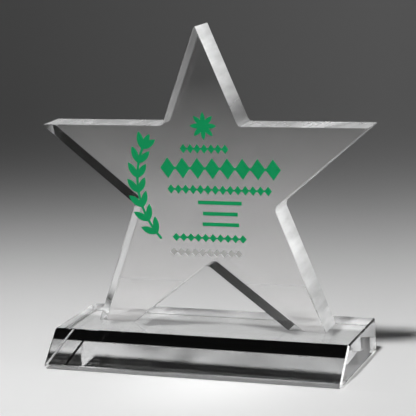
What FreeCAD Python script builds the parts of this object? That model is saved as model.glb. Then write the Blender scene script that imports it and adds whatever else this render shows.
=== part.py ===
import FreeCAD, Part
import os
import Sketcher

# A free-standing star award. A thick clear plate, cut to a five-pointed star, stands on a clear
# block with a sloped front. The star's two lower arms are cut off flat and cemented to the top
# of the block. The front of the star carries a one-colour print and one engraved line.
#
# Frame: millimetres, X to the right, Y to the back, Z up. The origin is the middle of the
# block's footprint, on the surface that the award stands on.

DRIVING_SIZES = {
    # Base block
    "base_length": 170,
    "base_depth": 68.5,
    "base_top_depth": 51.7,
    "base_height": 18.4,
    "lip_height": 2.5,
    "end_bevel": 0.8,
    "long_bevel": 0.3,
    # Star plate: widths are half widths, and heights are above its own feet
    "star_thickness": 19.2,
    "star_setback": 19,
    "apex_height": 165.4,
    "tip_width": 93.8,
    "shoulder_height": 111.3,
    "shoulder_width": 21.8,
    "waist_height": 67.2,
    "waist_width": 40.3,
    "foot_outer_width": 66.5,
    "foot_inner_width": 45.2,
    "notch_height": 34.9,
    "shoulder_radius": 3,
    "waist_radius": 4,
    "notch_radius": 4,
    "tip_radius": 0.4,
    "outline_bevel": 0.3,
    # Cement film under each foot
    "film_thickness": 0.15,
    "film_inset": 0.5,
    # Print and engraving
    "ink_thickness": 0.1,
    "engraved_depth": 0.25,
    "engraved_height": 41.4,
    # Laurel branch: angles are anticlockwise from the right, as seen from the front
    "laurel_radius": 46,
    "laurel_end": 155,
    "laurel_sweep": 68,
    "bare_stem": 6,
    "laurel_across": 8,
    "laurel_height": 80,
    "stem_width": 1.4,
    "leaf_out": 5.6,
    "leaf_in": 5,
    "leaf_root": 1.2,
    "leaf_advance": 8.2,
    "leaf_radius": 7.4,
    "end_leaf_drift": 0.8,
    "end_leaf_advance": 9.6,
    # Rosette of petals around its own centre
    "petal_length": 7.6,
    "petal_radius": 6,
    "rosette_across": 2,
    "rosette_height": 111.5,
}
LEAF_PAIRS = 7
PETALS = 8

# Printed lines on the star. Each is a thin rule with lozenges strung along it, or a plain bar.
# Sizes are length, lozenge width and height, rule width, lozenges, then place across and up.
CHAINS = {
    "printed_top_line": (28, 4.0, 5.2, 0.9, 7, 2, 99),
    "printed_title_line": (69, 8.6, 11.5, 1.4, 8, 10.5, 88.3),
    "printed_second_line": (60, 4.2, 5.2, 0.9, 14, 9.5, 76.6),
    "printed_closing_line": (43, 4.3, 4.6, 0.9, 10, 2.5, 49.8),
}
ENGRAVED_CHAIN = (42, 4.2, 4.4, 0.9, 10)
# Plain bars: length, width, then place across and up
BARS = {
    "printed_bar_1": (25, 2.0, 9.5, 69.5),
    "printed_bar_2": (20, 2.0, 9.5, 63.4),
    "printed_bar_3": (21, 2.0, 9.5, 57.5),
}

# Where the star's front face and its feet are; everything printed lies on that face
STAR_FRONT = "Sizes.base_depth / 2 - Sizes.base_top_depth + Sizes.star_setback"
STAR_FOOT = "Sizes.base_height + Sizes.film_thickness"

document = FreeCAD.newDocument("StarAward")
sheet = document.addObject("Spreadsheet::Sheet", "Sizes")


def fill_sheet():
    cells = dict(DRIVING_SIZES)
    for label, sizes in {**CHAINS, "engraved_line": ENGRAVED_CHAIN}.items():
        names = ("length", "lozenge_width", "lozenge_height", "rule_width", "count", "across", "up")
        cells.update({f"{label}_{name}": value for name, value in zip(names, sizes)})
    for label, sizes in BARS.items():
        names = ("length", "width", "across", "up")
        cells.update({f"{label}_{name}": value for name, value in zip(names, sizes)})
    for row, (alias, value) in enumerate(cells.items(), start=1):
        sheet.set(f"A{row}", alias)
        sheet.set(f"B{row}", str(value))
        sheet.setAlias(f"B{row}", alias)
    document.recompute()


def value_of(expression):
    return float(sheet.evalExpression(expression))


def new_body(label, x="0 mm", y="0 mm", z="0 mm"):
    """A body whose place follows three expressions."""
    body = document.addObject("PartDesign::Body", label)
    for axis, expression in zip("xyz", (x, y, z)):
        body.setExpression(f"Placement.Base.{axis}", expression)
    return body


def origin_feature(body, role):
    """One of the body's own origin planes or axes."""
    return next(item for item in body.Origin.OriginFeatures if item.Role == role)


def new_sketch(body, name, plane="XZ_Plane", offset_up=None):
    sketch = body.newObject("Sketcher::SketchObject", name)
    sketch.AttachmentSupport = [(origin_feature(body, plane), "")]
    sketch.MapMode = "FlatFace"
    if offset_up:
        sketch.setExpression("AttachmentOffset.Base.y", offset_up)
    return sketch


def add_outline(sketch, corners):
    """A closed chain of straight edges; edge n runs from corner n to the next."""
    count = len(corners)
    for index, corner in enumerate(corners):
        start = FreeCAD.Vector(*corner, 0)
        end = FreeCAD.Vector(*corners[(index + 1) % count], 0)
        sketch.addGeometry(Part.LineSegment(start, end), False)
    for index in range(count):
        following = (index + 1) % count
        sketch.addConstraint(Sketcher.Constraint("Coincident", index, 2, following, 1))


def dimension(sketch, kind, expression, *places):
    """A dimension between two (edge, end) places, or on one edge, driven by the sheet."""
    numbers = [number for place in places for number in place]
    constraint = Sketcher.Constraint(kind, *numbers, value_of(expression))
    index = sketch.addConstraint(constraint)
    sketch.setExpression(f"Constraints[{index}]", expression)


# The sketch's own origin and axes, as the sketcher numbers them
ORIGIN = (-1, 1)
ACROSS_AXIS = -1
UP_AXIS = -2


def pad(body, sketch, name, length, reverse=False):
    feature = body.newObject("PartDesign::Pad", name)
    feature.Profile = sketch
    feature.setExpression("Length", length)
    feature.Reversed = reverse
    return feature


def pocket(body, sketch, name, depth):
    feature = body.newObject("PartDesign::Pocket", name)
    feature.Profile = sketch
    feature.setExpression("Length", depth)
    return feature


def treat_edges(body, kind, name, size, wanted):
    """A fillet or chamfer on every edge of the body's last feature that wanted(edge) picks."""
    document.recompute()
    base = body.Tip
    names = [f"Edge{n}" for n, edge in enumerate(base.Shape.Edges, start=1) if wanted(edge)]
    feature = body.newObject(f"PartDesign::{kind}", name)
    feature.Base = (base, names)
    feature.setExpression("Radius" if kind == "Fillet" else "Size", size)
    body.Tip = feature
    return feature


def middle(edge):
    return edge.valueAt((edge.FirstParameter + edge.LastParameter) / 2)


def near(a, b):
    return abs(a - b) < 0.01


def build_base_block():
    """A bar of clear sheet: square back, sloped front above a short upright lip."""
    body = new_body("base_block")
    depth, top, height, lip = (
        value_of(f"Sizes.{alias}")
        for alias in ("base_depth", "base_top_depth", "base_height", "lip_height")
    )
    back = depth / 2
    sketch = new_sketch(body, "block_profile", "YZ_Plane")
    add_outline(sketch, [(-back, 0), (back, 0), (back, height), (back - top, height), (-back, lip)])
    bottom, rear, upper, _, front_lip = range(5)
    sketch.addConstraint(Sketcher.Constraint("Symmetric", bottom, 1, bottom, 2, *ORIGIN))
    sketch.addConstraint(Sketcher.Constraint("Horizontal", bottom))
    sketch.addConstraint(Sketcher.Constraint("Vertical", rear))
    sketch.addConstraint(Sketcher.Constraint("Horizontal", upper))
    sketch.addConstraint(Sketcher.Constraint("Vertical", front_lip))
    dimension(sketch, "DistanceX", "Sizes.base_depth", (bottom, 1), (bottom, 2))
    dimension(sketch, "DistanceY", "Sizes.base_height", (rear, 1), (rear, 2))
    dimension(sketch, "DistanceX", "Sizes.base_top_depth", (upper, 2), (upper, 1))
    dimension(sketch, "DistanceY", "Sizes.lip_height", (front_lip, 2), (front_lip, 1))
    block = pad(body, sketch, "block", "Sizes.base_length")
    block.SideType = "Symmetric"
    end = value_of("Sizes.base_length") / 2
    treat_edges(
        body, "Chamfer", "end_bevels", "Sizes.end_bevel",
        lambda edge: near(abs(middle(edge).x), end),
    )
    treat_edges(
        body, "Chamfer", "long_bevels", "Sizes.long_bevel",
        lambda edge: near(edge.BoundBox.YLength, 0) and near(edge.BoundBox.ZLength, 0),
    )
    return body


# Half of the star's outline, from the top down: corner, its half width and its height. A corner
# with no half width is on the middle line, and one with no height is on the feet's plane.
HALF_STAR = [
    ("apex", None, "apex_height"),
    ("shoulder", "shoulder_width", "shoulder_height"),
    ("tip", "tip_width", "shoulder_height"),
    ("waist", "waist_width", "waist_height"),
    ("foot_outer", "foot_outer_width", None),
    ("foot_inner", "foot_inner_width", None),
    ("notch", None, "notch_height"),
]


def corner_place(corner):
    _, across, up = corner
    return (
        value_of(f"Sizes.{across}") if across else 0,
        value_of(f"Sizes.{up}") if up else 0,
    )


def star_outline(sketch):
    """The right half is dimensioned, and the left half mirrors it."""
    right = [corner_place(corner) for corner in HALF_STAR]
    left = [(-across, up) for across, up in reversed(right[1:-1])]
    add_outline(sketch, right + left)
    total = len(right) + len(left)
    for index, (_, across, up) in enumerate(HALF_STAR):
        corner = (index, 1)
        if across:
            dimension(sketch, "DistanceX", f"Sizes.{across}", ORIGIN, corner)
            mirrored = (total - index, 1)
            sketch.addConstraint(Sketcher.Constraint("Symmetric", *corner, *mirrored, UP_AXIS))
        else:
            sketch.addConstraint(Sketcher.Constraint("PointOnObject", *corner, UP_AXIS))
        if up:
            dimension(sketch, "DistanceY", f"Sizes.{up}", ORIGIN, corner)
        else:
            sketch.addConstraint(Sketcher.Constraint("PointOnObject", *corner, ACROSS_AXIS))


def at_corners(*names):
    """Picks the edges that run through the plate at the named corners."""
    places = [corner_place(corner) for corner in HALF_STAR if corner[0] in names]

    def wanted(edge):
        point = middle(edge)
        runs_through = near(edge.BoundBox.XLength, 0) and near(edge.BoundBox.ZLength, 0)
        return runs_through and any(
            near(abs(point.x), across) and near(point.z, up) for across, up in places
        )

    return wanted


def build_star_plate():
    body = new_body("star_plate", y=STAR_FRONT, z=STAR_FOOT)
    sketch = new_sketch(body, "star_outline")
    star_outline(sketch)
    pad(body, sketch, "plate", "Sizes.star_thickness", reverse=True)
    rounds = {
        "shoulder_rounds": ("Sizes.shoulder_radius", ("shoulder",)),
        "waist_rounds": ("Sizes.waist_radius", ("waist",)),
        "notch_round": ("Sizes.notch_radius", ("notch",)),
        "tip_rounds": ("Sizes.tip_radius", ("apex", "tip")),
    }
    for name, (radius, corners) in rounds.items():
        treat_edges(body, "Fillet", name, radius, at_corners(*corners))
    thickness = value_of("Sizes.star_thickness")

    def on_outline(edge):
        on_face = near(edge.BoundBox.YLength, 0)
        at_foot = near(edge.BoundBox.ZLength, 0) and near(middle(edge).z, 0)
        return on_face and not at_foot and any(near(middle(edge).y, y) for y in (0, thickness))

    treat_edges(body, "Chamfer", "outline_bevels", "Sizes.outline_bevel", on_outline)
    document.recompute()
    before = body.Shape.Volume
    cut_chain(body)
    document.recompute()
    if body.Shape.Volume >= before:
        raise RuntimeError("the engraved line cuts nothing")
    return body


def rectangle(sketch, length, width):
    """A rectangle about the sketch's origin."""
    across = value_of(length) / 2
    up = value_of(width) / 2
    add_outline(sketch, [(-across, -up), (across, -up), (across, up), (-across, up)])
    for edge, kind in enumerate(("Horizontal", "Vertical", "Horizontal", "Vertical")):
        sketch.addConstraint(Sketcher.Constraint(kind, edge))
    sketch.addConstraint(Sketcher.Constraint("Symmetric", 0, 1, 2, 1, *ORIGIN))
    dimension(sketch, "DistanceX", length, (0, 1), (0, 2))
    dimension(sketch, "DistanceY", width, (1, 1), (1, 2))


def lozenge(sketch, length, width, height):
    """The first lozenge of a chain: its left corner is at the chain's left end."""
    left = -value_of(length) / 2
    across = value_of(width)
    up = value_of(height) / 2
    add_outline(sketch, [(left, 0), (left + across / 2, -up), (left + across, 0), (left + across / 2, up)])
    sketch.addConstraint(Sketcher.Constraint("PointOnObject", 0, 1, ACROSS_AXIS))
    sketch.addConstraint(Sketcher.Constraint("PointOnObject", 2, 1, ACROSS_AXIS))
    sketch.addConstraint(Sketcher.Constraint("Symmetric", 1, 1, 3, 1, ACROSS_AXIS))
    sketch.addConstraint(Sketcher.Constraint("Equal", 0, 1))
    dimension(sketch, "DistanceX", width, (0, 1), (2, 1))
    dimension(sketch, "DistanceY", height, (1, 1), (3, 1))
    dimension(sketch, "DistanceX", f"{length} / 2", (0, 1), ORIGIN)


def repeat_lozenge(body, original, sketch, label, count):
    pattern = body.newObject("PartDesign::LinearPattern", f"{label}_lozenges")
    pattern.Originals = [original]
    pattern.Direction = (sketch, ["H_Axis"])
    pattern.setExpression("Length", f"Sizes.{label}_length - Sizes.{label}_lozenge_width")
    pattern.Occurrences = count
    body.Tip = pattern


def chain_sketches(body, label, offset_up=None):
    """The thin rule and the first lozenge of one chain."""
    rule = new_sketch(body, f"{label}_rule", offset_up=offset_up)
    rectangle(rule, f"Sizes.{label}_length - Sizes.{label}_lozenge_width", f"Sizes.{label}_rule_width")
    first = new_sketch(body, f"{label}_lozenge", offset_up=offset_up)
    lozenge(
        first, f"Sizes.{label}_length",
        f"Sizes.{label}_lozenge_width", f"Sizes.{label}_lozenge_height",
    )
    return rule, first


def cut_chain(body):
    """The engraved line, cut into the star's front face."""
    label = "engraved_line"
    rule, first = chain_sketches(body, label, "Sizes.engraved_height")
    pocket(body, rule, "engraved_rule_cut", "Sizes.engraved_depth")
    cut = pocket(body, first, "engraved_lozenge_cut", "Sizes.engraved_depth")
    repeat_lozenge(body, cut, first, label, int(value_of(f"Sizes.{label}_count")))


def build_printed_chain(label):
    body = new_body(label, f"Sizes.{label}_across", STAR_FRONT, f"{STAR_FOOT} + Sizes.{label}_up")
    rule, first = chain_sketches(body, label)
    pad(body, rule, f"{label}_rule_pad", "Sizes.ink_thickness")
    raised = pad(body, first, f"{label}_lozenge_pad", "Sizes.ink_thickness")
    repeat_lozenge(body, raised, first, label, int(value_of(f"Sizes.{label}_count")))
    return body


def build_printed_bar(label):
    body = new_body(label, f"Sizes.{label}_across", STAR_FRONT, f"{STAR_FOOT} + Sizes.{label}_up")
    sketch = new_sketch(body, f"{label}_outline")
    rectangle(sketch, f"Sizes.{label}_length", f"Sizes.{label}_width")
    pad(body, sketch, f"{label}_pad", "Sizes.ink_thickness")
    return body


def leaf_sketch(body, name, reach, side, advance):
    """One leaf: two equal arcs from a root on the stem to a tip ahead of it and to one side."""
    radius = value_of("Sizes.laurel_radius")
    root_up = value_of("Sizes.leaf_root")
    root = FreeCAD.Vector(radius, root_up, 0)
    tip = FreeCAD.Vector(radius + side * value_of(reach), root_up - value_of(advance), 0)
    chord = tip - root
    across = FreeCAD.Vector(-chord.y, chord.x, 0).normalize()
    bend = value_of("Sizes.leaf_radius")
    bulge = bend - (bend ** 2 - (chord.Length / 2) ** 2) ** 0.5
    sketch = new_sketch(body, name)
    sketch.addGeometry(Part.Arc(tip, (root + tip) / 2 + across * bulge, root), False)
    sketch.addGeometry(Part.Arc(root, (root + tip) / 2 - across * bulge, tip), False)
    return sketch


def constrain_leaf(sketch, reach, side, advance):
    """Both arcs run the same way round, so the first starts at the tip and ends at the root."""
    tip, root = (0, 1), (0, 2)
    sketch.addConstraint(Sketcher.Constraint("Coincident", *root, 1, 1))
    sketch.addConstraint(Sketcher.Constraint("Coincident", *tip, 1, 2))
    sketch.addConstraint(Sketcher.Constraint("Equal", 0, 1))
    dimension(sketch, "Radius", "Sizes.leaf_radius", (0,))
    dimension(sketch, "DistanceX", "Sizes.laurel_radius", ORIGIN, root)
    dimension(sketch, "DistanceY", "Sizes.leaf_root", ORIGIN, root)
    dimension(sketch, "DistanceX", reach, *((root, tip) if side > 0 else (tip, root)))
    dimension(sketch, "DistanceY", advance, tip, root)


def stem_section(body):
    """The stem's cross-section, on the side of the body's +X axis."""
    radius, width, ink = (
        value_of(f"Sizes.{alias}") for alias in ("laurel_radius", "stem_width", "ink_thickness")
    )
    inner = radius - width / 2
    outer = radius + width / 2
    section = new_sketch(body, "stem_section", "XY_Plane")
    add_outline(section, [(inner, -ink), (outer, -ink), (outer, 0), (inner, 0)])
    for edge, kind in enumerate(("Horizontal", "Vertical", "Horizontal", "Vertical")):
        section.addConstraint(Sketcher.Constraint(kind, edge))
    section.addConstraint(Sketcher.Constraint("PointOnObject", 3, 1, ACROSS_AXIS))
    dimension(section, "DistanceX", "Sizes.stem_width", (0, 1), (0, 2))
    dimension(section, "DistanceY", "Sizes.ink_thickness", (1, 1), (1, 2))
    dimension(section, "DistanceX", "Sizes.laurel_radius - Sizes.stem_width / 2", ORIGIN, (3, 1))
    return section


def build_printed_laurel():
    """A curved stem, open to the right, with pairs of leaves that lean along it and one at its
    end. The body's +X axis meets the stem at that end, and the stem runs back from there."""
    body = new_body(
        "printed_laurel", "Sizes.laurel_across", STAR_FRONT, f"{STAR_FOOT} + Sizes.laurel_height"
    )
    end_angle = value_of("Sizes.laurel_end")
    body.Placement.Rotation = FreeCAD.Rotation(FreeCAD.Vector(0, -1, 0), end_angle)
    stem = body.newObject("PartDesign::Revolution", "stem")
    section = stem_section(body)
    stem.Profile = section
    stem.ReferenceAxis = (section, ["V_Axis"])
    stem.setExpression("Angle", "Sizes.laurel_sweep")
    stem.Reversed = True
    leaves = {
        "end_leaf": ("Sizes.end_leaf_drift", -1, "Sizes.end_leaf_advance"),
        "outer_leaf": ("Sizes.leaf_out", 1, "Sizes.leaf_advance"),
        "inner_leaf": ("Sizes.leaf_in", -1, "Sizes.leaf_advance"),
    }
    for name, (reach, side, advance) in leaves.items():
        sketch = leaf_sketch(body, f"{name}_outline", reach, side, advance)
        constrain_leaf(sketch, reach, side, advance)
        leaf = pad(body, sketch, name, "Sizes.ink_thickness")
        body.Tip = leaf
        if name != "end_leaf":
            repeat_leaf(body, leaf)
    return body


def repeat_leaf(body, leaf):
    pattern = body.newObject("PartDesign::PolarPattern", f"{leaf.Name}_row")
    pattern.Originals = [leaf]
    pattern.Axis = (origin_feature(body, "Y_Axis"), [""])
    pattern.Reversed = True
    pattern.setExpression("Angle", "Sizes.laurel_sweep - Sizes.bare_stem")
    pattern.Occurrences = LEAF_PAIRS
    body.Tip = pattern


def build_printed_rosette():
    """A ring of equal petals that overlap at their roots."""
    body = new_body(
        "printed_rosette", "Sizes.rosette_across", STAR_FRONT, f"{STAR_FOOT} + Sizes.rosette_height"
    )
    length = value_of("Sizes.petal_length")
    bend = value_of("Sizes.petal_radius")
    bulge = bend - (bend ** 2 - (length / 2) ** 2) ** 0.5
    root = FreeCAD.Vector(0, 0, 0)
    tip = FreeCAD.Vector(0, length, 0)
    sketch = new_sketch(body, "petal_outline")
    sketch.addGeometry(Part.Arc(root, FreeCAD.Vector(bulge, length / 2, 0), tip), False)
    sketch.addGeometry(Part.Arc(tip, FreeCAD.Vector(-bulge, length / 2, 0), root), False)
    sketch.addConstraint(Sketcher.Constraint("Coincident", 0, 1, *ORIGIN))
    sketch.addConstraint(Sketcher.Constraint("Coincident", 1, 2, 0, 1))
    sketch.addConstraint(Sketcher.Constraint("Coincident", 0, 2, 1, 1))
    sketch.addConstraint(Sketcher.Constraint("PointOnObject", 0, 2, UP_AXIS))
    sketch.addConstraint(Sketcher.Constraint("Equal", 0, 1))
    dimension(sketch, "DistanceY", "Sizes.petal_length", ORIGIN, (0, 2))
    dimension(sketch, "Radius", "Sizes.petal_radius", (0,))
    petal = pad(body, sketch, "petal", "Sizes.ink_thickness")
    ring = body.newObject("PartDesign::PolarPattern", "petals")
    ring.Originals = [petal]
    ring.Axis = (origin_feature(body, "Y_Axis"), [""])
    ring.Angle = 360
    ring.Occurrences = PETALS
    body.Tip = ring
    return body


def build_foot_film(label, side):
    """The thin layer of set cement between one foot and the block's top."""
    film = document.addObject("Part::Box", label)
    film.setExpression("Length", "Sizes.foot_outer_width - Sizes.foot_inner_width - 2 * Sizes.film_inset")
    film.setExpression("Width", "Sizes.star_thickness - 2 * Sizes.film_inset")
    film.setExpression("Height", "Sizes.film_thickness")
    if side > 0:
        across = "Sizes.foot_inner_width + Sizes.film_inset"
    else:
        across = "-Sizes.foot_outer_width + Sizes.film_inset"
    film.setExpression("Placement.Base.x", across)
    film.setExpression("Placement.Base.y", f"{STAR_FRONT} + Sizes.film_inset")
    film.setExpression("Placement.Base.z", "Sizes.base_height")
    return film


def check(part):
    if part.Shape.isNull() or not part.Shape.isValid():
        raise RuntimeError(f"{part.Label} has no valid shape")
    if len(part.Shape.Solids) != 1:
        raise RuntimeError(f"{part.Label} is {len(part.Shape.Solids)} solids, not one")


fill_sheet()
parts = [build_base_block(), build_star_plate()]
parts += [build_foot_film("left_foot_film", -1), build_foot_film("right_foot_film", 1)]
parts += [build_printed_laurel(), build_printed_rosette()]
parts += [build_printed_chain(label) for label in CHAINS]
parts += [build_printed_bar(label) for label in BARS]
document.recompute()

for item in document.Objects:
    if {"Invalid", "Error"} & set(item.State):
        raise RuntimeError(f"{item.Label} failed to build")

os.makedirs("parts", exist_ok=True)
for part in parts:
    check(part)
    part.Shape.exportStep(f"parts/{part.Label}.step")
    box = part.Shape.BoundBox
    print(
        f"{part.Label:22s} {part.Shape.Volume / 1000:8.3f} cm3  "
        f"x {box.XMin:7.2f} {box.XMax:7.2f}  y {box.YMin:6.2f} {box.YMax:6.2f}  "
        f"z {box.ZMin:6.2f} {box.ZMax:6.2f}"
    )
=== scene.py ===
import math

import bmesh
import bpy
from mathutils import Matrix, Vector


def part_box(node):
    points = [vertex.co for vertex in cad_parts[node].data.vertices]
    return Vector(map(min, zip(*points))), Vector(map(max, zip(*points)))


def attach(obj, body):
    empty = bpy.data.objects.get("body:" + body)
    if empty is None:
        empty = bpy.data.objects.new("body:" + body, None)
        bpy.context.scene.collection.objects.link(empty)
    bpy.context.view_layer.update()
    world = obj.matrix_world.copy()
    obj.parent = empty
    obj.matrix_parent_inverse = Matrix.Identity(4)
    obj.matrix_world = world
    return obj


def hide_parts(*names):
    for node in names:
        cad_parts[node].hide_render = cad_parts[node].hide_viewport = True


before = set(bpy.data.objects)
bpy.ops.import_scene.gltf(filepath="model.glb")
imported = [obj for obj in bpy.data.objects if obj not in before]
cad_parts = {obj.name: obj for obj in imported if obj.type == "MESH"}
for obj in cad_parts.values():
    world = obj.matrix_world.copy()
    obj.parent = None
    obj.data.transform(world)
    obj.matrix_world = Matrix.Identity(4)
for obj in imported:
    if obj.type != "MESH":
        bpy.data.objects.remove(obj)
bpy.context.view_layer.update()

scene = bpy.context.scene
MM = 0.001

# Light goes round many times inside thick acrylic before it leaves
BOUNCES = 24
scene.cycles.max_bounces = BOUNCES
scene.cycles.glossy_bounces = BOUNCES
scene.cycles.transmission_bounces = BOUNCES
scene.cycles.transparent_max_bounces = BOUNCES
# The finishes let lamplight straight by (lets_light_by), so caustics would count that light twice
scene.cycles.caustics_reflective = False
scene.cycles.caustics_refractive = False

base_low, base_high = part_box("base_block")
star_low, star_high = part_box("star_plate")
# The star's front face lies before this depth, and the engraving's floor behind it
star_front = star_low.y + 0.1 * MM


# Materials ------------------------------------------------------------------------------------

WHITE = (1, 1, 1, 1)
# Most values of a noise texture lie between these two
NOISE_LOW, NOISE_HIGH = 0.3, 0.7


class Nodes:
    """A node tree with short calls for the nodes that this script uses."""

    def __init__(self, owner):
        owner.use_nodes = True
        self.owner = owner
        self.tree = owner.node_tree
        self.tree.nodes.clear()

    def set(self, node, key, value):
        if isinstance(value, bpy.types.NodeSocket):
            self.tree.links.new(value, node.inputs[key])
        else:
            node.inputs[key].default_value = value

    def add(self, kind, inputs=None, **settings):
        node = self.tree.nodes.new("ShaderNode" + kind)
        for key, value in settings.items():
            setattr(node, key, value)
        for key, value in (inputs or {}).items():
            self.set(node, key, value)
        return node

    def math(self, operation, *values):
        return self.add("Math", dict(enumerate(values)), operation=operation).outputs[0]

    def principled(self, lets_light_by=None, **inputs):
        """Finishes with one shader. Straight light from a lamp passes where lets_light_by is set."""
        named = {key.replace("_", " "): value for key, value in inputs.items()}
        shader = self.add("BsdfPrincipled", named).outputs["BSDF"]
        if lets_light_by:
            clear = self.add("BsdfTransparent", {"Color": lets_light_by}).outputs[0]
            from_lamp = self.add("LightPath").outputs["Is Shadow Ray"]
            shader = self.add("MixShader", {0: from_lamp, 1: shader, 2: clear}).outputs[0]
        self.finish(shader)

    def finish(self, shader):
        output = self.add("OutputMaterial")
        self.tree.links.new(shader, output.inputs["Surface"])

    def place(self):
        return self.add("TexCoord").outputs["Object"]

    def axis(self, name):
        """The place along one axis."""
        return self.add("SeparateXYZ", {"Vector": self.place()}).outputs[name]

    def drawn_out(self, share):
        """The place with its depth shrunk to this share, which draws a texture out from front to back."""
        inputs = {0: self.place(), 1: (1, share, 1)}
        return self.add("VectorMath", inputs, operation="MULTIPLY").outputs["Vector"]

    def dot(self, vector, direction):
        inputs = {0: vector, 1: direction}
        return self.add("VectorMath", inputs, operation="DOT_PRODUCT").outputs["Value"]

    def noise(self, vector, scale, detail):
        node = self.add("TexNoise", {"Vector": vector, "Scale": scale, "Detail": detail})
        return node.outputs["Fac"]

    def ramp(self, value, low, high, result_low, result_high, smooth=False):
        node = self.add("MapRange", {
            "Value": value, "From Min": low, "From Max": high,
            "To Min": result_low, "To Max": result_high,
        }, interpolation_type="SMOOTHSTEP" if smooth else "LINEAR")
        return node.outputs["Result"]

    def varied(self, noise, result_low, result_high):
        return self.ramp(noise, NOISE_LOW, NOISE_HIGH, result_low, result_high)

    def by_height(self, greys):
        """A grey that follows the height, from pairs of height and grey in rising order."""
        low, high = min(greys), max(greys)
        ramp = self.add("ValToRGB", {"Fac": self.ramp(self.axis("Z"), low, high, 0, 1)})
        elements = ramp.color_ramp.elements
        for index, (place, grey) in enumerate(greys.items()):
            stop = elements[index] if index < 2 else elements.new(1.0)
            stop.position = (place - low) / (high - low)
            stop.color = (grey, grey, grey, 1)
        return ramp.outputs["Color"]

    def hill(self, squared_distance):
        """1 in the middle, falling away smoothly with distance."""
        return self.math("EXPONENT", self.math("MULTIPLY", squared_distance, -1.0))

    def bump(self, height, distance, normal=None):
        inputs = {"Height": height, "Distance": distance, "Strength": 1.0}
        if normal:
            inputs["Normal"] = normal
        return self.add("Bump", inputs).outputs["Normal"]

    def mixed(self, factor, first, second, blend_type="MIX"):
        inputs = {"Fac": factor, "Color1": first, "Color2": second}
        return self.add("MixRGB", inputs, blend_type=blend_type).outputs[0]


def new_material(name):
    return Nodes(bpy.data.materials.new(name))


ACRYLIC_IOR = 1.49
ACRYLIC_TINT = (0.985, 0.99, 0.99, 1)
EDGE_TINT = (0.95, 0.955, 0.955, 1)
EDGE_ROUGHNESS = 0.02
# Painted light on the star's front face: a pale layer that scatters more towards the feet, so the lower
# face shows lighter. How clear it leaves the face and how pale it is, by height
PAINTED_LIGHT_CLEARNESS = {
    0.018: 0.62, 0.03: 0.65, 0.045: 0.72, 0.09: 0.72, 0.105: 0.81, 0.1225: 0.88, 0.1385: 0.94,
    0.1466: 0.965, 0.156: 1.0,
}
PAINTED_LIGHT_PALENESS = {0.018: 0.93, 0.03: 0.88, 0.042: 0.79, 0.055: 0.78, 0.075: 0.74, 0.14: 0.9}
PAINTED_LIGHT_WARMTH = (1, 0.985, 0.98, 1)
# A flat face of a parallel plate passes light straight on, less what it reflects
FACE_PASS = (0.95, 0.95, 0.95, 1)
# The share of lamplight that passes an edge, by height: edges of the arms send it elsewhere
EDGE_PASS = {0.018: 0.35, 0.045: 0.4, 0.055: 0.9, 0.092: 0.9, 0.104: 0.0, 0.183: 0.0}


def sheet_face():
    """The flat face of cast acrylic sheet: clear, with the faintest unevenness and haze."""
    n = new_material("acrylic_face")
    clouds = n.noise(n.place(), scale=35, detail=4)
    swell = n.noise(n.place(), scale=18, detail=1)
    n.principled(
        Base_Color=ACRYLIC_TINT, Transmission_Weight=1.0, IOR=ACRYLIC_IOR,
        Roughness=n.ramp(clouds, low=0.4, high=0.8, result_low=0.0, result_high=0.02),
        Normal=n.bump(swell, distance=0.005 * MM), lets_light_by=FACE_PASS,
    )
    return n.owner


def painted_light_face():
    """The middle of the star's front face: a pale scattering layer that gets denser towards the feet,
    painted light that brightens the lower face.
    """
    n = new_material("acrylic_front_fade")
    n.principled(
        Base_Color=n.mixed(1.0, n.by_height(PAINTED_LIGHT_PALENESS), PAINTED_LIGHT_WARMTH, blend_type="MULTIPLY"),
        Transmission_Weight=n.by_height(PAINTED_LIGHT_CLEARNESS), IOR=ACRYLIC_IOR, Roughness=0.0,
        lets_light_by=FACE_PASS,
    )
    return n.owner


def polished_edge(name, on_star):
    """A sawn edge polished with a buff or flame: slightly wavy along the edge, with faint haze."""
    n = new_material(name)
    streaks = n.noise(n.drawn_out(0.25), scale=260, detail=3)
    waves = n.noise(n.drawn_out(0.6), scale=60, detail=2)
    n.principled(
        Base_Color=EDGE_TINT, Transmission_Weight=1.0, IOR=ACRYLIC_IOR,
        Roughness=n.varied(streaks, EDGE_ROUGHNESS * 0.6, EDGE_ROUGHNESS * 1.4),
        Normal=n.bump(waves, 0.004 * MM, n.bump(streaks, 0.0003 * MM)),
        lets_light_by=n.by_height(EDGE_PASS) if on_star else None,
    )
    return n.owner


def ground_bevel(name, painted_glow):
    """The broken corner of a cut end, ground matt, with a painted glow standing for the light carried
    through the bar to it.
    """
    n = new_material(name)
    grain = n.noise(n.place(), scale=900, detail=2)
    n.principled(
        Base_Color=(0.97, 0.97, 0.965, 1), IOR=ACRYLIC_IOR, Transmission_Weight=0.15,
        Roughness=n.varied(grain, 0.3, 0.45), Normal=n.bump(grain, 0.004 * MM),
        # Emission: the painted glow, a highlight that no lamp makes
        Emission_Color=(1, 1, 0.99, 1), Emission_Strength=n.varied(grain, 0.85 * painted_glow, painted_glow),
    )
    return n.owner


# Painted glow on the star's right-hand edges: how much of the light they pass is scattered, by height, so
# that the right-hand lamp lights them as light carried along the sheet would
SIDE_PAINTED_GLOW = {
    0.018: 0.62, 0.041: 0.75, 0.059: 0.95, 0.075: 1.0, 0.12: 0.6, 0.1315: 0.25, 0.136: 0.16,
    0.141: 0.33, 0.146: 0.55, 0.155: 0.72, 0.164: 0.9, 0.183: 0.92,
}
# The same painted glow for its upward edges, and the share of either that is left at the back of the
# plate
TOP_PAINTED_GLOW = 0.5
BACK_PAINTED_GLOW = 0.75
STREAK_DIM, STREAK_BRIGHT = 0.8, 1.12


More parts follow.
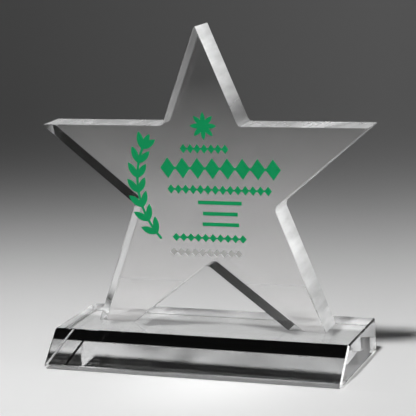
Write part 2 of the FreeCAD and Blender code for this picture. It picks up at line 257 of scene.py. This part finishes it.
def painted_glow_edge(name, glow_of):
    """An edge with a painted glow: it scatters a share of light set by height and depth, so that real
    lamps light it where light carried along the sheet would show, drawn out in streaks by the polishing.
    """
    n = new_material(name)
    fall = n.ramp(n.axis("Y"), star_low.y, star_high.y, 1.0, BACK_PAINTED_GLOW)
    streaks = n.noise(n.drawn_out(0.2), scale=170, detail=3)
    broad = n.noise(n.drawn_out(0.35), scale=45, detail=2)
    glow = n.math("MULTIPLY", glow_of(n), fall)
    scattered = n.math("MULTIPLY", glow, n.varied(streaks, STREAK_DIM, STREAK_BRIGHT))
    n.principled(
        Base_Color=EDGE_TINT, IOR=ACRYLIC_IOR,
        Transmission_Weight=n.math("SUBTRACT", 1.0, scattered),
        Roughness=n.varied(streaks, 0.08, 0.2), Normal=n.bump(broad, 0.006 * MM),
        lets_light_by=n.by_height(EDGE_PASS),
    )
    return n.owner


def wetted_face():
    """Acrylic with cement behind it in place of air. It doesn't reflect, so fine bevels have it too."""
    n = new_material("wetted_face")
    shade = n.mixed(n.noise(n.place(), scale=300, detail=2), (0.93, 0.93, 0.93, 1), WHITE)
    n.finish(n.add("BsdfTransparent", {"Color": shade}).outputs[0])
    return n.owner


def frosted_cut():
    """The engraved line: cut by laser, so its floor is finely rough and scatters light."""
    n = new_material("frosted_cut")
    grain = n.noise(n.place(), scale=1800, detail=3)
    n.principled(
        Base_Color=(0.42, 0.42, 0.41, 1), Transmission_Weight=0.35, IOR=ACRYLIC_IOR,
        Roughness=n.varied(grain, 0.4, 0.6), Normal=n.bump(grain, 0.02 * MM),
    )
    return n.owner


def printed_ink():
    """Opaque screen-printed ink, with the fine grain of the mesh and a slightly uneven coat."""
    n = new_material("green_ink")
    grain = n.noise(n.place(), scale=2500, detail=2)
    coat = n.noise(n.place(), scale=140, detail=2)
    n.principled(
        Base_Color=n.mixed(coat, (0.002, 0.24, 0.079, 1), (0.0025, 0.28, 0.095, 1)),
        Roughness=n.varied(grain, 0.4, 0.55), Specular_IOR_Level=0.15,
        Normal=n.bump(grain, 0.01 * MM),
    )
    return n.owner


face = sheet_face()
wetted = wetted_face()
ink = printed_ink()


# Clear pieces ---------------------------------------------------------------------------------

# How much of a normal lies along an axis: for a face square to it, nearly square, and slanted
SQUARE, NEARLY_SQUARE, SLANTED = 0.99, 0.95, 0.3
SAME_FACE = math.radians(0.3)
SHARP = math.radians(20)


def clear_piece(name, node_name, materials, prepare):
    """A copy of a CAD node with merged flat faces, smooth rounds and a material for each face."""
    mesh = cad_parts[node_name].data.copy()
    mesh.materials.clear()
    for material in materials.values():
        mesh.materials.append(material)
    bm = bmesh.new()
    bm.from_mesh(mesh)
    bmesh.ops.remove_doubles(bm, verts=bm.verts, dist=0.001 * MM)
    bmesh.ops.dissolve_limit(bm, angle_limit=SAME_FACE, verts=bm.verts, edges=bm.edges)
    finish_of = prepare(bm)
    order = list(materials)
    for f in bm.faces:
        f.smooth = True
        f.material_index = order.index(finish_of(f.normal, f.calc_center_median()))
    bm.to_mesh(mesh)
    bm.free()
    if "custom_normal" in mesh.attributes:
        mesh.attributes.remove(mesh.attributes["custom_normal"])
    mesh.set_sharp_from_angle(angle=SHARP)
    piece = bpy.data.objects.new(name, mesh)
    scene.collection.objects.link(piece)
    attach(piece, "root")
    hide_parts(node_name)


# The painted light on the front face stops this far, across and up, beside the star's lower left edges
PAINTED_LIGHT_INSET = Vector((5.0 * MM, 0, 2.8 * MM))
LONG_EDGE = 15 * MM


def inside(point, sides):
    """True if the point is within the outline that these sides make, seen from the front."""
    crossings = 0
    for start, end in sides:
        if (start.z > point.z) != (end.z > point.z):
            along = (point.z - start.z) / (end.z - start.z)
            crossings += start.x + along * (end.x - start.x) > point.x
    return crossings % 2 == 1


def on_front(f):
    return f.normal.y < -SQUARE and f.calc_center_median().y < star_front


def prepare_star(bm):
    """Splits the front face where its painted light ends, and says which finish each face has."""
    front = [f for f in bm.faces if on_front(f)]
    sides = []
    for edge in dict.fromkeys(edge for f in front for edge in f.edges):
        beyond = [f for f in edge.link_faces if f not in front]
        if beyond and beyond[0].normal.y < -SLANTED:
            sides.append([v.co + PAINTED_LIGHT_INSET for v in edge.verts])
    for start, end in sides:
        side = end - start
        if side.length > LONG_EDGE:
            faces = [f for f in bm.faces if on_front(f)]
            edges = dict.fromkeys(e for f in faces for e in f.edges)
            corners = dict.fromkeys(v for f in faces for v in f.verts)
            across = Vector((side.z, 0, -side.x)).normalized()
            bmesh.ops.bisect_plane(
                bm, geom=[*faces, *edges, *corners], plane_co=start, plane_no=across, dist=0.001 * MM,
            )

    def finish_of(normal, centre):
        if centre.z < star_low.z + 0.01 * MM and normal.z < -SQUARE:
            return "wetted"
        if normal.y < -SQUARE and centre.y > star_front:
            return "frosted"
        # The middle of the front face takes the painted light
        if normal.y < -SQUARE and inside(centre, sides):
            return "painted_light_front"
        if abs(normal.y) > SQUARE:
            return "face"
        if abs(normal.y) > SLANTED:
            return "wetted"
        # Upward and right-hand edges take the painted glow
        if normal.z > NEARLY_SQUARE:
            return "painted_glow_top"
        return "painted_glow_side" if normal.x > SLANTED else "edge"

    return finish_of


# A bevel that looks up by more than this runs along the top of the base's end
TOP_BEVEL = 0.6


def prepare_base(bm):
    """Says which finish each face of the base has. The bevels of its left end are hardly there."""
    def finish_of(normal, centre):
        if abs(normal.z) > SQUARE:
            return "face"
        if -SQUARE < normal.x < -SLANTED:
            return "wetted"
        if SLANTED < normal.x < NEARLY_SQUARE and normal.z < TOP_BEVEL:
            return "low_ground" if normal.z < -SLANTED else "ground"
        return "edge"

    return finish_of


# The star: painted light in the middle of its front face, paler towards the feet
clear_piece("star_plate_clear", "star_plate", {
    "face": face, "painted_light_front": painted_light_face(), "edge": polished_edge("polished_edge", on_star=True),
    # Painted glow on the right-hand and upward edges
    "painted_glow_side": painted_glow_edge("painted_glow_side", lambda n: n.by_height(SIDE_PAINTED_GLOW)),
    "painted_glow_top": painted_glow_edge("painted_glow_top", lambda n: TOP_PAINTED_GLOW),
    "wetted": wetted, "frosted": frosted_cut(),
}, prepare_star)
clear_piece("base_block_clear", "base_block", {
    "face": face, "edge": polished_edge("base_edge", on_star=False), "wetted": wetted,
    "ground": ground_bevel("ground_bevel", painted_glow=0.0),
    # The bottom corner of the end takes the painted glow
    "low_ground": ground_bevel("low_ground_bevel", painted_glow=0.85),
}, prepare_base)

for name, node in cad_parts.items():
    node.data.materials.clear()
    node.data.materials.append(ink if name.startswith("printed") else wetted)


# Floor ----------------------------------------------------------------------------------------

FLOOR_SIZE = 6
FLOOR_DROP = 0.2 * MM
AWAY = Vector((-0.364, 0.931, 0))
ACROSS = Vector((0.931, 0.364, 0))
# The pool of light painted into the floor's colour, by how far away: (dim level, bright level, start,
# reach)
POOL_LEFT = (0.029, 0.655, -0.055, 0.37)
POOL_RIGHT = (0.06, 0.54, -0.083, 0.365)
# Left turns into right over a fan of this slope each way, from a point this far in front
FAN_SLOPE = 0.11
FAN_POINT = 0.89
# Painted light: a glow in the floor under the base, standing for light that the base's back wall throws
# down: from where, to where, strength
THROWN_FROM, THROWN_TO, THROWN = 22 * MM, 28 * MM, 0.4
# Painted light: a glow in the floor before the base, standing for light that the sloped front throws
# forward: its strength, and its middle and reach on each axis
FORWARD = 0.23
FORWARD_REACH = {"X": (15 * MM, 47 * MM), "Y": (-36 * MM, 48 * MM)}


# A pool of light painted into the floor's colour
def pool(n, away, dim, bright, start, reach):
    ahead = n.math("MULTIPLY_ADD", away, 1 / reach, -start / reach)
    return n.math("MULTIPLY_ADD", n.hill(n.math("MULTIPLY", ahead, ahead)), bright, dim)


# Painted light: a glow in the floor under the base's back part
def painted_glow_under_base(n):
    strength = n.ramp(n.axis("Y"), THROWN_FROM, THROWN_TO, 0, THROWN, smooth=True)
    for axis, end in (("Y", base_high.y), ("X", base_high.x)):
        under_base = n.math("LESS_THAN", n.math("ABSOLUTE", n.axis(axis)), end)
        strength = n.math("MULTIPLY", strength, under_base)
    return strength


# Painted light: a glow in the floor in front of the sloped front
def painted_glow_before_base(n):
    squared_distance = 0.0
    for axis, (middle, reach) in FORWARD_REACH.items():
        offset = n.math("DIVIDE", n.math("SUBTRACT", n.axis(axis), middle), reach)
        squared_distance = n.math("MULTIPLY_ADD", offset, offset, squared_distance)
    in_front = n.math("LESS_THAN", n.axis("Y"), base_low.y)
    return n.math("MULTIPLY", n.math("MULTIPLY", FORWARD, n.hill(squared_distance)), in_front)


def floor_material():
    """Pale matt card, with a pool of light painted into its colour that fades behind the award, and
    painted glows near the base.
    """
    n = new_material("floor")
    away = n.dot(n.place(), AWAY)
    slope = n.math("DIVIDE", n.dot(n.place(), ACROSS), n.math("ADD", away, FAN_POINT))
    rightness = n.ramp(slope, -FAN_SLOPE, FAN_SLOPE, 0, 1)
    n.principled(
        Base_Color=n.mixed(rightness, pool(n, away, *POOL_LEFT), pool(n, away, *POOL_RIGHT)),
        Roughness=0.6, Specular_IOR_Level=0.2,
        # Emission: the painted light from the base
        Emission_Color=WHITE, Emission_Strength=n.math("ADD", painted_glow_under_base(n), painted_glow_before_base(n)),
    )
    return n.owner


def build_floor():
    mesh = bpy.data.meshes.new("floor")
    bm = bmesh.new()
    bmesh.ops.create_grid(bm, x_segments=12, y_segments=12, size=FLOOR_SIZE)
    bm.to_mesh(mesh)
    bm.free()
    mesh.materials.append(floor_material())
    floor = bpy.data.objects.new("floor", mesh)
    scene.collection.objects.link(floor)
    floor.location.z = -FLOOR_DROP


build_floor()


# Light ----------------------------------------------------------------------------------------

# Soft boxes: azimuth from the back towards the right, elevation, half width, soft rim, strength
BOXES = [
    (-168, 66, 2, 3, 280.0),
    (104, 4, 4, 3, 60.0),
]
AMBIENT = 0.003
# A weak glow low down at the back, which ends between these two elevations
GLOW = 0.3
GLOW_ENDS = math.sin(math.radians(15)), math.sin(math.radians(25))
GLOW_BACK = 0.0, 0.5


def build_world():
    world = bpy.data.worlds.new("studio")
    scene.world = world
    n = Nodes(world)
    direction = n.add("TexCoord").outputs["Generated"]
    split = n.add("SeparateXYZ", {"Vector": direction})
    low_glow = n.ramp(split.outputs["Z"], *GLOW_ENDS, GLOW, 0, smooth=True)
    behind = n.ramp(split.outputs["Y"], *GLOW_BACK, 0, 1, smooth=True)
    total = n.math("MULTIPLY_ADD", low_glow, behind, AMBIENT)
    for azimuth, elevation, half_width, rim, strength in BOXES:
        a, e = math.radians(azimuth), math.radians(elevation)
        towards = (math.sin(a) * math.cos(e), math.cos(a) * math.cos(e), math.sin(e))
        outside = math.cos(math.radians(half_width + rim))
        inside_rim = math.cos(math.radians(half_width))
        box = n.ramp(n.dot(direction, towards), outside, inside_rim, 0, strength, smooth=True)
        total = n.math("ADD", total, box)
    shader = n.add("Background", {"Color": WHITE, "Strength": total})
    n.tree.links.new(shader.outputs[0], n.add("OutputWorld").inputs["Surface"])


build_world()


# Camera ---------------------------------------------------------------------------------------

LENS, SENSOR = 145.85, 36
CLIP = 0.05, 50
STAND = Vector((0.32681, -0.82807, 0.27836))
YAW, PITCH, ROLL = 0.37261, -0.21366, 0.05193


def build_camera():
    data = bpy.data.cameras.new("camera")
    data.lens = LENS
    data.sensor_width = SENSOR
    data.clip_start, data.clip_end = CLIP
    camera = bpy.data.objects.new("camera", data)
    scene.collection.objects.link(camera)
    scene.camera = camera
    turn = Matrix.Rotation(YAW, 3, "Z") @ Matrix.Rotation(PITCH, 3, "X") @ Matrix.Rotation(ROLL, 3, "Y")
    right, forward, up = turn.col
    matrix = Matrix((right, up, -forward)).transposed().to_4x4()
    matrix.translation = STAND
    camera.matrix_world = matrix


build_camera()
scene.view_settings.view_transform = "Standard"
